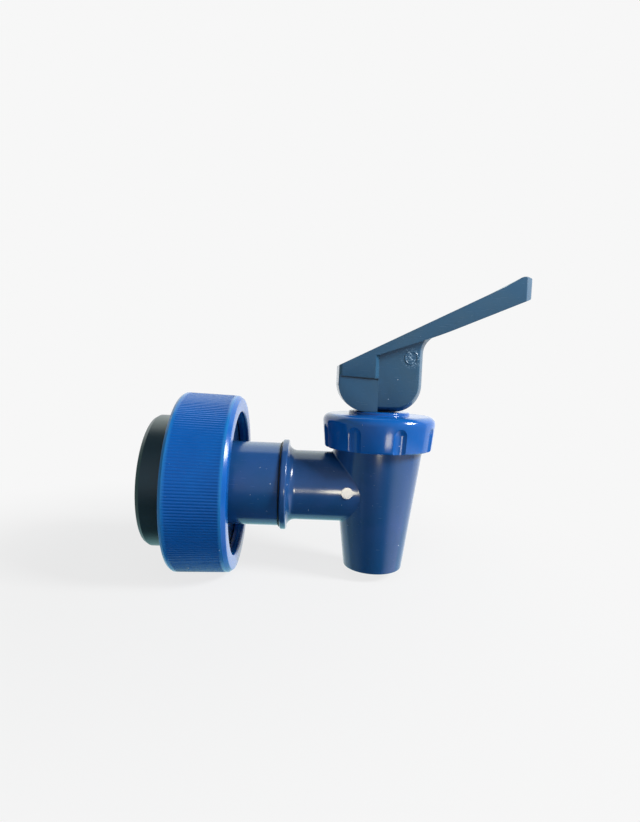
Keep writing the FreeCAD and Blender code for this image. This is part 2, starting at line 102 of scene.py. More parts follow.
camera_place = Vector((30.29, -154.80, 32.08)) * MM
camera_right = Vector((0.99909, -0.01128, 0.04121))
camera_up = Vector((-0.04045, 0.06051, 0.99735))
camera_ahead = Vector((0.01374, 0.99810, -0.06000))
camera_lens = 22.30
bpy.ops.object.select_all(action="DESELECT")
bpy.ops.object.camera_add()
camera = bpy.context.object
camera.name = "photo_camera"
camera.data.sensor_width = 36.0
camera.data.lens = camera_lens
camera.data.clip_start = 5 * MM
camera.data.clip_end = 20.0
turn = Matrix((camera_right, camera_up, -camera_ahead)).transposed().to_4x4()
camera.matrix_world = Matrix.Translation(camera_place) @ turn
bpy.context.scene.camera = camera
bpy.context.scene.view_settings.view_transform = "Standard"

backdrop_tone = paint(247, 247, 247)
floor_drop = 0.15 * MM
floor_z = cad_box[0].z - floor_drop
bpy.ops.mesh.primitive_plane_add(size=8.0, location=(0, 0, floor_z))
floor = bpy.context.object
floor.name = "pale_floor"

floor_paint = bpy.data.materials.new("pale_floor_paint")
floor_paint.use_nodes = True
tree = floor_paint.node_tree
tree.nodes.clear()
spot = place_node(tree, "ShaderNodeTexCoord").outputs["Object"]
far_off = place_node(tree, "ShaderNodeVectorMath", {0: spot}, operation="LENGTH").outputs["Value"]
fade = place_node(
    tree, "ShaderNodeMapRange", {"Value": far_off, "From Min": 0.04, "From Max": 0.15, "To Min": 0.84},
    interpolation_type="SMOOTHSTEP",
).outputs["Result"]
ray, seen = backdrop_rays(tree)
share = maths(tree, "MULTIPLY", seen, fade)
lit = place_node(tree, "ShaderNodeBsdfDiffuse", {"Color": (0.62, 0.63, 0.64, 1.0)}).outputs["BSDF"]
glow = place_node(tree, "ShaderNodeEmission", {"Color": backdrop_tone}).outputs["Emission"]
blend = place_node(tree, "ShaderNodeMixShader", {0: share, 1: lit, 2: glow}).outputs["Shader"]
clear = place_node(tree, "ShaderNodeBsdfTransparent").outputs["BSDF"]
blend = place_node(
    tree, "ShaderNodeMixShader", {0: ray["Is Glossy Ray"], 1: blend, 2: clear}
).outputs["Shader"]
place_node(tree, "ShaderNodeOutputMaterial", {"Surface": blend})
floor.data.materials.append(floor_paint)

# The room. Gloss mirrors a white sheet behind the tap, also below and to the right
# of it, and a dim room in front, palest at eye level. A window lamp on the right
# gives most of the light, and two small warm lamps put streaks on neck and bonnet.
world = bpy.data.worlds.new("room")
bpy.context.scene.world = world
world.use_nodes = True
tree = world.node_tree
tree.nodes.clear()
way = place_node(tree, "ShaderNodeTexCoord").outputs["Generated"]
part = place_node(tree, "ShaderNodeSeparateXYZ", {0: way}).outputs


def eased(tree, value, start, end):
    """Smooth step from 0 to 1 as a value goes from start to end."""
    return place_node(
        tree, "ShaderNodeMapRange", {"Value": value, "From Min": start, "From Max": end},
        interpolation_type="SMOOTHSTEP",
    ).outputs["Result"]


def mixed(tree, share, first, second):
    """Colour between the first and the second."""
    return place_node(tree, "ShaderNodeMix", {0: share, 6: first, 7: second}, data_type="RGBA").outputs[2]


dark_low, eye_level, dark_high = (0.03, 0.05, 0.05, 1), (0.58, 0.58, 0.64, 1), (0.14, 0.16, 0.18, 1)
green_wall, pale_corner = (0.36, 0.56, 0.44, 1), (1.35, 1.35, 1.5, 1)
sheet_low, sheet_middle, sheet_high = (0.50, 1.00, 1.02, 1), (1.2, 1.25, 1.28, 1), (1.8, 2.0, 1.9, 1)
dim_front = mixed(tree, eased(tree, part["Z"], -0.45, -0.02), dark_low, eye_level)
dim_front = mixed(tree, eased(tree, part["Z"], 0.30, 0.95), dim_front, dark_high)
green_side = mixed(tree, eased(tree, part["X"], -0.45, -0.85), dim_front, green_wall)
low_right = maths(
    tree, "MULTIPLY", eased(tree, part["X"], 0.38, 0.78), eased(tree, part["Z"], -0.24, -0.36)
)
bright_side = mixed(tree, low_right, green_side, pale_corner)
sheet = mixed(tree, eased(tree, part["Z"], -0.75, -0.25), sheet_low, sheet_middle)
sheet = mixed(tree, eased(tree, part["Z"], 0.20, 0.60), sheet, sheet_high)
mirrored = mixed(tree, eased(tree, part["Y"], 0.19, 0.29), bright_side, sheet)
mirrored_room = place_node(tree, "ShaderNodeBackground", {"Color": mirrored}).outputs["Background"]
soft_light = place_node(
    tree, "ShaderNodeBackground", {"Color": (0.95, 0.98, 1.0, 1.0), "Strength": 0.13}
).outputs["Background"]
pale = place_node(tree, "ShaderNodeBackground", {"Color": backdrop_tone}).outputs["Background"]
ray, seen = backdrop_rays(tree)
blend = place_node(
    tree, "ShaderNodeMixShader", {0: ray["Is Glossy Ray"], 1: soft_light, 2: mirrored_room}
).outputs["Shader"]
blend = place_node(tree, "ShaderNodeMixShader", {0: seen, 1: blend, 2: pale}).outputs["Shader"]
place_node(tree, "ShaderNodeOutputWorld", {"Surface": blend})

lamp_aim = Vector((38.0, 0.0, 12.0)) * MM


def soft_lamp(name, place, aim, width, height, power, colour):
    """Rectangular lamp that faces the tap and doesn't show in the picture itself."""
    bpy.ops.object.light_add(type="AREA", location=place)
    lamp = bpy.context.object
    lamp.name = name
    lamp.data.shape = "RECTANGLE"
    lamp.data.size = width
    lamp.data.size_y = height
    lamp.data.energy = power
    lamp.data.color = colour
    lamp.rotation_euler = (aim - place).to_track_quat("-Z", "Y").to_euler()
    lamp.visible_camera = False
    return lamp


soft_lamp(
    "window_lamp", Vector((0.499, -0.186, 0.347)), lamp_aim, 0.16, 0.16, 5.5, (1.0, 0.99, 0.98)
)
overhead = soft_lamp(
    "overhead_lamp", Vector((0.038, -0.40, 0.585)), lamp_aim, 0.45, 0.35, 0.85, (0.97, 0.99, 1.0)
)
overhead.visible_glossy = False


def streak_lamp(name, centre_x, width, power, piece):
    """Small warm lamp below the camera that is only mirrored, and only by one piece."""
    place = Vector((centre_x, -0.118, -0.0175))
    lamp = soft_lamp(name, place, place + Vector((0, 1, 0)), width, 0.019, power, (1.0, 0.90, 0.66))
    lamp.visible_diffuse = False
    target = bpy.data.collections.new(name + "_target")
    target.objects.link(piece)
    lamp.light_linking.receiver_collection = target


# The moulded tap body: shank, bead, neck, tapered barrel and spout in one piece.
# Deep blue glossy plastic. The neck runs into the barrel with a small fillet, and
# a round gate mark stands on the neck's near side.
def rounded(corners, pieces=6):
    """Points of an outline whose corners are (u, v) or (u, v, rounding radius)."""
    points = []
    for i, corner in enumerate(corners):
        spot = Vector(corner[:2])
        if len(corner) < 3:
            points.append(spot)
            continue
        back = (Vector(corners[i - 1][:2]) - spot).normalized()
        ahead = (Vector(corners[(i + 1) % len(corners)][:2]) - spot).normalized()
        half = back.angle(ahead) / 2
        centre = spot + (back + ahead).normalized() * (corner[2] / math.sin(half))
        start = spot + back * (corner[2] / math.tan(half)) - centre
        sweep = math.copysign(math.pi - 2 * half, back.cross(ahead))
        for k in range(pieces + 1):
            points.append(centre + start @ Matrix.Rotation(sweep * k / pieces, 2))
    return points


def drawn(name, points):
    """New object in edit mode whose edges run through the points, all selected."""
    bpy.ops.object.select_all(action="DESELECT")
    bpy.ops.mesh.primitive_plane_add(size=MM, location=points[0])
    piece = bpy.context.object
    piece.name = name
    piece.data.name = name
    bpy.ops.object.transform_apply(location=True, rotation=False, scale=False)
    bpy.ops.object.mode_set(mode="EDIT")
    bpy.ops.mesh.select_mode(type="VERT")
    bpy.ops.mesh.select_all(action="SELECT")
    bpy.ops.mesh.merge(type="CENTER")
    for last, point in zip(points, points[1:]):
        bpy.ops.mesh.extrude_region_move(TRANSFORM_OT_translate={"value": point - last})
    bpy.ops.mesh.select_all(action="SELECT")
    bpy.ops.mesh.remove_doubles(threshold=0.005 * MM)
    return piece


def tidy_shell():
    """Merges what meets in the object being edited and turns its faces outwards."""
    bpy.ops.mesh.select_all(action="SELECT")
    bpy.ops.mesh.remove_doubles(threshold=0.005 * MM)
    bpy.ops.mesh.normals_make_consistent(inside=False)
    bpy.ops.object.mode_set(mode="OBJECT")


def turned(name, outline, steps, centre=None, closed=True):
    """Shape turned from (along, radius) about the shank, or about the barrel."""
    if centre is None:
        points = [Vector((along, 0, radius)) * MM for along, radius in outline]
        centre = Vector()
        axis = Vector((1, 0, 0))
    else:
        points = [centre + Vector((radius, 0, along)) * MM for along, radius in outline]
        axis = Vector((0, 0, 1))
    if closed and (outline[0][1] or outline[-1][1]):
        points.append(points[0])
    piece = drawn(name, points)
    bpy.ops.mesh.spin(steps=steps, angle=2 * math.pi, center=centre, axis=axis)
    tidy_shell()
    return piece


def choose(piece):
    """Selects one piece alone and makes it the active one."""
    bpy.ops.object.select_all(action="DESELECT")
    piece.select_set(True)
    bpy.context.view_layer.objects.active = piece


def combine(piece, other, operation):
    """Cuts, joins or trims a piece with another, which is used up."""
    change = piece.modifiers.new(operation.lower(), "BOOLEAN")
    change.operation = operation
    change.object = other
    change.solver = "EXACT"
    choose(piece)
    bpy.ops.object.modifier_apply(modifier=change.name)
    bpy.data.objects.remove(other, do_unlink=True)


def dress(piece, material, body, slot_name, smooth_angle, *nodes):
    """Smooths a finished piece, gives it its finish, and ties it to its CAD nodes."""
    choose(piece)
    bpy.ops.object.shade_smooth_by_angle(angle=math.radians(smooth_angle))
    piece.data.materials.clear()
    piece.data.materials.append(material)
    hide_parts(*nodes)
    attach(piece, body)


def ranged(tree, value, start, end):
    """Mask that goes evenly from 0 to 1 as a value goes from start to end."""
    return place_node(
        tree, "ShaderNodeMapRange", {"Value": value, "From Min": start, "From Max": end}
    ).outputs["Result"]


skin_group = bpy.data.node_groups.new("moulded_skin", "ShaderNodeTree")
for label, kind in (
    ("Vector", "NodeSocketVector"), ("Pale", "NodeSocketColor"), ("Deep", "NodeSocketColor"),
    ("Flow Scale", "NodeSocketFloat"), ("Grain Scale", "NodeSocketFloat"),
    ("Roughness", "NodeSocketFloat"), ("Roughness Swing", "NodeSocketFloat"),
):
    skin_group.interface.new_socket(name=label, in_out="INPUT", socket_type=kind)
for label, kind in (
    ("Color", "NodeSocketColor"), ("Roughness", "NodeSocketFloat"), ("Height", "NodeSocketFloat"),
):
    skin_group.interface.new_socket(name=label, in_out="OUTPUT", socket_type=kind)
given = place_node(skin_group, "NodeGroupInput").outputs
flow = place_node(
    skin_group, "ShaderNodeTexNoise",
    {"Vector": given["Vector"], "Scale": given["Flow Scale"], "Detail": 4.0, "Distortion": 0.8},
).outputs["Fac"]
flow = ranged(skin_group, flow, 0.3, 0.7)
tint = mixed(skin_group, flow, given["Deep"], given["Pale"])
grain = place_node(
    skin_group, "ShaderNodeTexNoise",
    {"Vector": given["Vector"], "Scale": given["Grain Scale"], "Detail": 3.0},
).outputs["Fac"]
swing = maths(skin_group, "MULTIPLY", flow, given["Roughness Swing"])
rough = maths(skin_group, "ADD", swing, given["Roughness"])
place_node(skin_group, "NodeGroupOutput", {"Color": tint, "Roughness": rough, "Height": grain})

wear_group = bpy.data.node_groups.new("dust_and_scuffs", "ShaderNodeTree")
for label, kind in (
    ("Vector", "NodeSocketVector"), ("Speck Scale", "NodeSocketFloat"),
    ("Speck Size", "NodeSocketFloat"), ("Scuff Scale", "NodeSocketFloat"),
):
    wear_group.interface.new_socket(name=label, in_out="INPUT", socket_type=kind)
for label in ("Specks", "Scuffs"):
    wear_group.interface.new_socket(name=label, in_out="OUTPUT", socket_type="NodeSocketFloat")
given = place_node(wear_group, "NodeGroupInput").outputs
cells = place_node(
    wear_group, "ShaderNodeTexVoronoi", {"Vector": given["Vector"], "Scale": given["Speck Scale"]}
).outputs
chosen = place_node(
    wear_group, "ShaderNodeSeparateColor", {"Color": cells["Color"]}
).outputs["Red"]
specks = maths(wear_group, "LESS_THAN", cells["Distance"], maths(
    wear_group, "MULTIPLY", chosen, given["Speck Size"]
))
drag = place_node(
    wear_group, "ShaderNodeMapping",
    {"Vector": given["Vector"], "Rotation": (0.5, 0.3, 0.9), "Scale": (1, 14, 14)},
).outputs["Vector"]
streaks = place_node(
    wear_group, "ShaderNodeTexNoise", {"Vector": drag, "Scale": given["Scuff Scale"], "Detail": 2.0}
).outputs["Fac"]
scuffs = ranged(wear_group, streaks, 0.66, 0.74)
place_node(wear_group, "NodeGroupOutput", {"Specks": specks, "Scuffs": scuffs})


def skinned(name, pale, deep, flow_scale, grain_scale, roughness, swing):
    """New material that holds the moulded skin: gives the material and the skin's outputs."""
    material = bpy.data.materials.new(name)
    material.use_nodes = True
    tree = material.node_tree
    tree.nodes.clear()
    skin = place_node(tree, "ShaderNodeGroup", {
        "Vector": place_node(tree, "ShaderNodeTexCoord").outputs["Object"], "Pale": pale, "Deep": deep,
        "Flow Scale": flow_scale, "Grain Scale": grain_scale,
        "Roughness": roughness, "Roughness Swing": swing,
    }, node_tree=skin_group)
    return material, skin.outputs


def close_off(tree, tint, rough, height, strength, depth, metal=0.0):
    """Ends a material with its shader, whose grain stands out by the depth in metres."""
    bump = place_node(
        tree, "ShaderNodeBump", {"Height": height, "Strength": strength, "Distance": depth}
    ).outputs["Normal"]
    shader = place_node(tree, "ShaderNodeBsdfPrincipled", {
        "Base Color": tint, "Roughness": rough, "Metallic": metal, "Normal": bump,
    }).outputs["BSDF"]
    place_node(tree, "ShaderNodeOutputMaterial", {"Surface": shader})


dust_tone = paint(205, 220, 235)
dust_scale, dust_size = 420.0, 0.05


def moulded_plastic(name, pale, deep, roughness, swing, grain_height, scuff_share):
    """Glossy moulded plastic with slow colour flow, faint grain, dust and scuffs."""
    material, skin = skinned(name, pale, deep, 70.0, 2600.0, roughness, swing)
    tree = material.node_tree
    wear = place_node(tree, "ShaderNodeGroup", {
        "Vector": place_node(tree, "ShaderNodeTexCoord").outputs["Object"],
        "Speck Scale": dust_scale, "Speck Size": dust_size, "Scuff Scale": 240.0,
    }, node_tree=wear_group).outputs
    tint = mixed(tree, wear["Specks"], skin["Color"], dust_tone)
    scuffed = maths(tree, "MULTIPLY", wear["Scuffs"], scuff_share)
    rough = maths(tree, "ADD", skin["Roughness"], scuffed)
    close_off(tree, tint, rough, skin["Height"], 0.5, grain_height)
    return material


stem_low, stem_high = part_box("valve_stem")
gasket_low, gasket_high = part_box("shank_gasket")
body_low, body_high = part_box("faucet_body")
barrel_centre = Vector(((stem_low.x + stem_high.x) / 2, 0, 0))
barrel_x = barrel_centre.x / MM
bead_rear_x = gasket_high.x / MM
bead_front_x = bead_rear_x + 1.9
neck_end_x = bead_front_x + 8.0
shank_rear_x = body_low.x / MM
neck_r = 10.5
bead_r = 13.6
shank_r = 9.5
neck_profile = rounded([
    (shank_rear_x, 0),
    (shank_rear_x, shank_r - 0.8),
    (shank_rear_x + 0.8, shank_r),
    (bead_rear_x, shank_r),
    (bead_rear_x, bead_r, 0.55),
    (bead_front_x, bead_r, 0.55),
    (bead_front_x, neck_r, 2.5),
    (neck_end_x, neck_r),
], 8)
body = turned("tap_body", neck_profile, 160, closed=False)

# the neck's open end follows a ball that rolls round between neck and barrel
barrel_r, barrel_taper, fillet_r, fillet_steps = 11.98, 0.13, 0.7, 6
fillet_swell = 0.06
barrel_slant = math.hypot(1, barrel_taper)


def fillet_point(angle, share):
    """Point of the fillet at a turn round the neck: share 0 on the neck, 1 on the barrel."""
    y = (neck_r + fillet_r) * math.cos(angle)
    z = (neck_r + fillet_r) * math.sin(angle)
    reach = barrel_r + barrel_taper * z + fillet_r * barrel_slant
    ball = Vector((barrel_x - math.sqrt(reach ** 2 - y ** 2), y, z))
    to_neck = Vector((0, -math.cos(angle), -math.sin(angle)))
    to_barrel = Vector(((barrel_x - ball.x) / reach, -y / reach, barrel_taper)) / barrel_slant
    return (ball + to_neck.slerp(to_barrel, share) * fillet_r * (1 + fillet_swell * share)) * MM


bpy.ops.object.mode_set(mode="EDIT")
bpy.ops.mesh.select_all(action="DESELECT")
bpy.ops.mesh.select_mode(type="VERT")
edit = bmesh.from_edit_mesh(body.data)
angle_layer = edit.verts.layers.float.new("neck_angle")
for vert in edit.verts:
    if abs(vert.co.x - neck_end_x * MM) < 1e-6 and vert.co.yz.length > 5 * MM:
        vert[angle_layer] = math.atan2(vert.co.z, vert.co.y)
        vert.select = True
edit.select_flush(True)
bmesh.update_edit_mesh(body.data)
for k in range(fillet_steps + 2):
    bpy.ops.mesh.extrude_region_move()
    edit = bmesh.from_edit_mesh(body.data)
    angle_layer = edit.verts.layers.float["neck_angle"]
    for vert in edit.verts:
        if vert.select:
            vert.co = fillet_point(vert[angle_layer], min(k / fillet_steps, 1.0))
            if k > fillet_steps:
                vert.co.x += 2.0 * MM
    bmesh.update_edit_mesh(body.data)
bpy.ops.mesh.edge_face_add()
tidy_shell()

top_z = body_high.z / MM
spout_z = body_low.z / MM
step_z = 12.3
top_r = barrel_r + barrel_taper * step_z - 0.3
barrel = turned("barrel", rounded([
    (spout_z, 0),
    (spout_z, barrel_r + barrel_taper * spout_z, 0.5),
    (step_z, barrel_r + barrel_taper * step_z),
    (step_z, top_r),
    (top_z, top_r, 0.4),
    (top_z, 0),
], 4), 192, barrel_centre)
combine(body, barrel, "UNION")

gate_x, gate_depth, gate_height = barrel_x - 9.4, 2.0, 0.15
gate_y = gate_depth / 2 - gate_height - neck_r
bpy.ops.mesh.primitive_cylinder_add(
    vertices=48, radius=1.65 * MM, depth=gate_depth * MM,
    location=(gate_x * MM, gate_y * MM, 0.07 * MM), rotation=(math.pi / 2, 0.03, 0),
)
gate = bpy.context.object
bpy.ops.object.transform_apply(location=True, rotation=True, scale=True)
combine(body, gate, "UNION")

# the waterway through the shank, round the valve's seat, and down the spout
floor_of_chamber, seat, port_r, lip_r, waterway_r = -9.0, -7.8, 4.6, 5.7, 6.75
past = 1.0
spout_bore_r = barrel_r + barrel_taper * spout_z - 2.2
spout_roof = floor_of_chamber - 2.6
waterway = turned("waterway", [
    (shank_rear_x - past, 0), (shank_rear_x - past, waterway_r), (barrel_x, waterway_r), (barrel_x, 0),
], 96)
seat_lip = turned("seat_lip", [
    (spout_roof, 0), (spout_roof, lip_r), (seat, lip_r), (seat, 0),
], 96, barrel_centre)
combine(waterway, seat_lip, "DIFFERENCE")
combine(body, waterway, "DIFFERENCE")
chamber_r, chamber_taper = barrel_r - 2.5, 0.07
chamber = turned("chamber", [
    (spout_roof - past, 0), (spout_roof - past, port_r), (seat, port_r), (seat, lip_r),
    (floor_of_chamber, lip_r), (floor_of_chamber, chamber_r + chamber_taper * floor_of_chamber),
    (top_z + past, chamber_r + chamber_taper * (top_z + past)), (top_z + past, 0),
], 96, barrel_centre)
combine(body, chamber, "DIFFERENCE")
spout_bore = turned("spout_bore", [
    (spout_z - past, 0), (spout_z - past, spout_bore_r), (spout_roof, spout_bore_r), (spout_roof, 0),
], 96, barrel_centre)
combine(body, spout_bore, "DIFFERENCE")

body_blue = moulded_plastic(
    "deep_blue_body_plastic", paint(32, 72, 126), paint(18, 68, 116), 0.15, 0.04, 0.01 * MM, 0.15
)
dress(body, body_blue, "tap", "body_plastic", 30, "faucet_body")
streak_lamp("neck_streak_lamp", 0.0485, 0.021, 0.042, body)


# The bonnet: a screw cap on the barrel in a brighter blue plastic. It is turned,
# with a broad rounding, a round land on top that the lever rocks on, and eight
# round-topped grip flutes round its leaning side.
land_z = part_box("bonnet")[1].z / MM
shoulder_z = land_z - 0.95
roof_z = shoulder_z - 2.0
bonnet_bore_r = top_r + 0.06
bonnet_foot_r = bonnet_bore_r + 2.8
bonnet_lean = 0.10
shoulder_r = bonnet_foot_r + bonnet_lean * (shoulder_z - step_z)
guide_z = land_z - 9.4
stem_bore_r, guide_r, land_r = 3.08, 5.9, 9.2
bonnet = turned("bonnet_cap", rounded([
    (guide_z, stem_bore_r),
    (guide_z, guide_r),
    (roof_z, guide_r),
    (roof_z, bonnet_bore_r),
    (step_z, bonnet_bore_r),
    (step_z, bonnet_foot_r, 0.7),
    (shoulder_z, shoulder_r, 2.2),
    (shoulder_z, land_r, 0.25),
    (land_z, land_r, 0.35),
    (land_z, stem_bore_r),
], 8), 192, barrel_centre)

flute_r, flute_depth, flute_count = 3.1, 0.8, 8
flute_turn = math.radians(14.8)
flute_top, flute_past = shoulder_z - 5.3, 2.0
lean_angle = math.atan(bonnet_lean)
for i in range(flute_count):
    bpy.ops.mesh.primitive_uv_sphere_add(
        segments=48, ring_count=24, radius=flute_r * MM, location=(0, 0, 0)
    )
    flute = bpy.context.object
    bpy.ops.object.mode_set(mode="EDIT")
    bpy.ops.mesh.select_all(action="DESELECT")
    edit = bmesh.from_edit_mesh(flute.data)
    for vert in edit.verts:
        if vert.co.z < -1e-6:
            vert.select = True
    edit.select_flush(True)
    bmesh.update_edit_mesh(flute.data)
    bpy.ops.transform.translate(value=(0, 0, -(flute_top - step_z + flute_past) * MM))
    bpy.ops.object.mode_set(mode="OBJECT")
    flute.rotation_euler = (0, lean_angle, 0)
    foot = bonnet_foot_r + flute_r - flute_depth
    flute.location = Vector((foot + bonnet_lean * (flute_top - step_z), 0, flute_top)) * MM
    bpy.ops.object.transform_apply(location=True, rotation=True, scale=True)
    flute.rotation_euler = (0, 0, flute_turn + 2 * math.pi * i / flute_count)
    flute.location = barrel_centre
    bpy.ops.object.transform_apply(location=True, rotation=True, scale=True)
    combine(bonnet, flute, "DIFFERENCE")

bonnet_blue = moulded_plastic(
    "bright_blue_bonnet_plastic", paint(5, 88, 166), paint(3, 80, 156), 0.12, 0.04, 0.01 * MM, 0.12
)
dress(bonnet, bonnet_blue, "tap", "bonnet_plastic", 30, "bonnet")
streak_lamp("bonnet_streak_lamp", 0.0805, 0.026, 0.016, bonnet)


# The lever: one slate blue moulding. Its rounded block rocks on the bonnet's land
# and is slotted for the stem; the arm over it ends in a flared tip, is cored from
# below round a rib, and comes down behind the block as a bevelled skirt.
def plate(name, points, stretch):
    """Flat outline through the points, drawn out by a vector into a closed shape."""
    piece = drawn(name, points + points[:1])
    bpy.ops.mesh.edge_face_add()
    bpy.ops.mesh.extrude_region_move(TRANSFORM_OT_translate={"value": stretch})
    tidy_shell()
    return piece


def soften(piece, width, angle, segments=3):
    """Rounds every edge that is sharper than the angle."""
    change = piece.modifiers.new("soft_edges", "BEVEL")
    change.width = width
    change.segments = segments
    change.limit_method = "ANGLE"
    change.angle_limit = math.radians(angle)
    choose(piece)
    bpy.ops.object.modifier_apply(modifier=change.name)


pin_low, pin_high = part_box("lever_pin")
foot_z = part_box("lever")[0].z / MM
block_back, back_top, reach = 13.1, 13.18, 42.2
arm_half, block_half = 7.75, 5.75
arm_slope = math.tan(math.radians(27.46))
skirt_x, skirt_root, skirt_bevel = -1.2, 2.55, 1.35
bend_x, bend_depth = 16.4, 5.35


def arm_top(x):
    """Height of the arm's straight top over the block's foot."""
    return back_top + (x + block_back) * arm_slope


def side_view(corners, y, pieces):
    """Places an outline of (x from the barrel, z from the block's foot) at a depth."""
    return [Vector((barrel_x + u, y, foot_z + v)) * MM for u, v in rounded(corners, pieces)]


def plan_view(corners, pieces):
    """Places an outline of (x from the barrel, y) at the height of the block's foot."""
    return [Vector((barrel_x + u, v, foot_z)) * MM for u, v in rounded(corners, pieces)]


flat_x = reach - 3.6
flare_x = flat_x - 5.1
tip_top, tip_height = arm_top(flat_x) + 0.5, 5.95
bend_z = arm_top(bend_x) - bend_depth
root_z = arm_top(skirt_x) - skirt_root
spare = 0.01
lever = plate("lever_arm", side_view([
    (-block_back, back_top),
    (flare_x, arm_top(flare_x), 14.0),
    (flat_x, tip_top, 2.4),
    (reach, tip_top, 0.7),
    (reach, tip_top - tip_height, 1.2),
    (bend_x, bend_z, 110.0),
    (skirt_x, root_z),
    (skirt_x, 9.7),
    (-block_back, 10.3),
], -arm_half - 1, 8), Vector((0, 2 * arm_half + 2, 0)) * MM)
tip_bevel = 2.4
bar = plate("plan_bar", plan_view([
    (-block_back, -arm_half, 1.2),
    (reach - tip_bevel, -arm_half, 0.4),
    (reach, tip_bevel - arm_half, 1.0),
    (reach, arm_half - tip_bevel, 1.0),
    (reach - tip_bevel, arm_half, 0.4),
    (-block_back, arm_half, 1.2),
], 10), Vector((0, 0, 2 * reach)) * MM)
combine(lever, bar, "INTERSECT")
soften(lever, 0.25 * MM, 38)
for side in (-1, 1):
    wedge = plate("skirt_bevel", plan_view([
        (skirt_x - skirt_bevel, side * (arm_half + spare)),
        (skirt_x + spare, side * (arm_half + spare)),
        (skirt_x + spare, side * (block_half - 0.2)),
    ], 1), Vector((0, 0, root_z - 0.2)) * MM)
    combine(lever, wedge, "DIFFERENCE")

# a pocket on each side of the rib, open below
rib_half, wall, roof_wall = 0.8, 1.8, 2.3
pocket_x, pocket_end = 17.5, reach - 2.4
pocket_roof = arm_top(flat_x) - roof_wall
for side in (-1, 1):
    pocket = plate("arm_pocket", side_view([
        (pocket_x, arm_top(pocket_x) - 16.0),
        (pocket_x, arm_top(pocket_x) - roof_wall, 0.6),
        (flat_x, pocket_roof),
        (pocket_end, pocket_roof, 0.6),
        (pocket_end, pocket_roof - 18.0),
    ], side * rib_half, 4), Vector((0, side * (arm_half - wall - rib_half), 0)) * MM)
    combine(lever, pocket, "DIFFERENCE")


def arm_under(x):
    """Height of the arm's straight underside, between the skirt and the bend."""
    return root_z + (bend_z - root_z) * (x - skirt_x) / (bend_x - skirt_x)


# the block that rocks, with a sloping rim round each cheek, and its fillet to the arm
block_left, block_right, tail_x, foot_round, sunk = -3.2, 11.9, 18.6, 8.2, 0.6
rim_width, rim_depth = 1.4, 2.8
block = plate("lever_block", side_view([
    (block_left, 0),
    (block_right, 0, foot_round),
    (block_right, arm_under(block_right - 0.1), 6.0),
    (tail_x, arm_under(tail_x) + 0.4),
    (tail_x, arm_top(tail_x) - sunk),
    (block_left, arm_top(block_left) - sunk),
], rim_depth - block_half, 24), Vector((0, 2 * (block_half - rim_depth), 0)) * MM)
bpy.ops.object.mode_set(mode="EDIT")
bpy.ops.mesh.select_all(action="DESELECT")
bpy.ops.mesh.select_mode(type="FACE")
edit = bmesh.from_edit_mesh(block.data)
for face in edit.faces:
    face.select = abs(face.normal.y) > 0.9
bmesh.update_edit_mesh(block.data)
bpy.ops.mesh.inset(thickness=rim_width * MM, depth=rim_depth * MM, use_individual=True)
tidy_shell()
soften(block, 0.22 * MM, 20)
combine(lever, block, "UNION")

# the block's wide half below the skirt, with a groove between the two
wide_half, wide_x, wide_back = 7.35, skirt_x - 0.25, 0.03 - block_back
wide_block = plate("wide_block", side_view([
    (wide_back, 0, foot_round),
    (wide_x, 0),
    (wide_x, 10.0),
    (wide_back, 10.5),
], -wide_half - 1, 24), Vector((0, 2 * wide_half + 2, 0)) * MM)
wide_bar = plate("wide_bar", plan_view([
    (wide_back, -wide_half, 0.35),
    (wide_x, -wide_half),
    (wide_x, wide_half),
    (wide_back, wide_half, 0.35),
], 6), Vector((0, 0, 12.0)) * MM)
combine(wide_block, wide_bar, "INTERSECT")
soften(wide_block, 0.3 * MM, 38, 4)
combine(lever, wide_block, "UNION")
groove_start, groove_end, groove_depth = -12.3, wide_x - 0.1, 0.7
for side in (-1, 1):
    groove = plate("skirt_groove", side_view([
        (groove_start, 10.15),
        (groove_end, 9.7),
        (groove_end, 9.25),
        (groove_start, 9.95),
    ], side * (wide_half - groove_depth), 1), Vector((0, side * 1.5, 0)) * MM)
    combine(lever, groove, "DIFFERENCE")

# the slot that the stem's eye swings in, and the hole of the pin through it
slot_half, slot_left, slot_right = 2.7, -3.7, 4.2
slot_roof, slot_knee = 13.2, 8.9
slot = plate("stem_slot", side_view([
    (slot_left, -1.0),
    (slot_left, slot_roof, 0.8),
    (slot_right, slot_roof, 0.8),
    (slot_right, slot_knee),
    (10.2, -1.0),
], -slot_half, 6), Vector((0, 2 * slot_half, 0)) * MM)
combine(lever, slot, "DIFFERENCE")
pin_length = 11.05
bpy.ops.mesh.primitive_cylinder_add(
    vertices=64, radius=1.5 * MM, depth=pin_length * MM,
    location=(barrel_centre.x, pin_low.y + pin_length / 2 * MM, (pin_low.z + pin_high.z) / 2),
    rotation=(math.pi / 2, 0, 0),
)
pin_hole = bpy.context.object
bpy.ops.object.transform_apply(location=True, rotation=True, scale=True)
combine(lever, pin_hole, "DIFFERENCE")


def lay_over(tree, mask, colour):
    """Lays a colour over a finished material where the mask is 1, and gives its shader."""
    shader = next(node for node in tree.nodes if node.type == "BSDF_PRINCIPLED")
    plain = shader.inputs["Base Color"].links[0].from_socket
    tree.links.new(mixed(tree, mask, plain, colour), shader.inputs["Base Color"])
    return shader


# a raised moulding ring on the near cheek, with paler worn flecks round it
ring_x, ring_z = barrel_x + 8.0, foot_z + 16.1
bpy.ops.mesh.primitive_torus_add(
    major_segments=96, minor_segments=16, major_radius=1.85 * MM, minor_radius=0.25 * MM,
    location=(ring_x * MM, -block_half * MM, ring_z * MM), rotation=(math.pi / 2, 0, 0),
)
ring = bpy.context.object
ring.scale = (1, 1, 0.5)
bpy.ops.object.transform_apply(location=True, rotation=True, scale=True)
combine(lever, ring, "UNION")

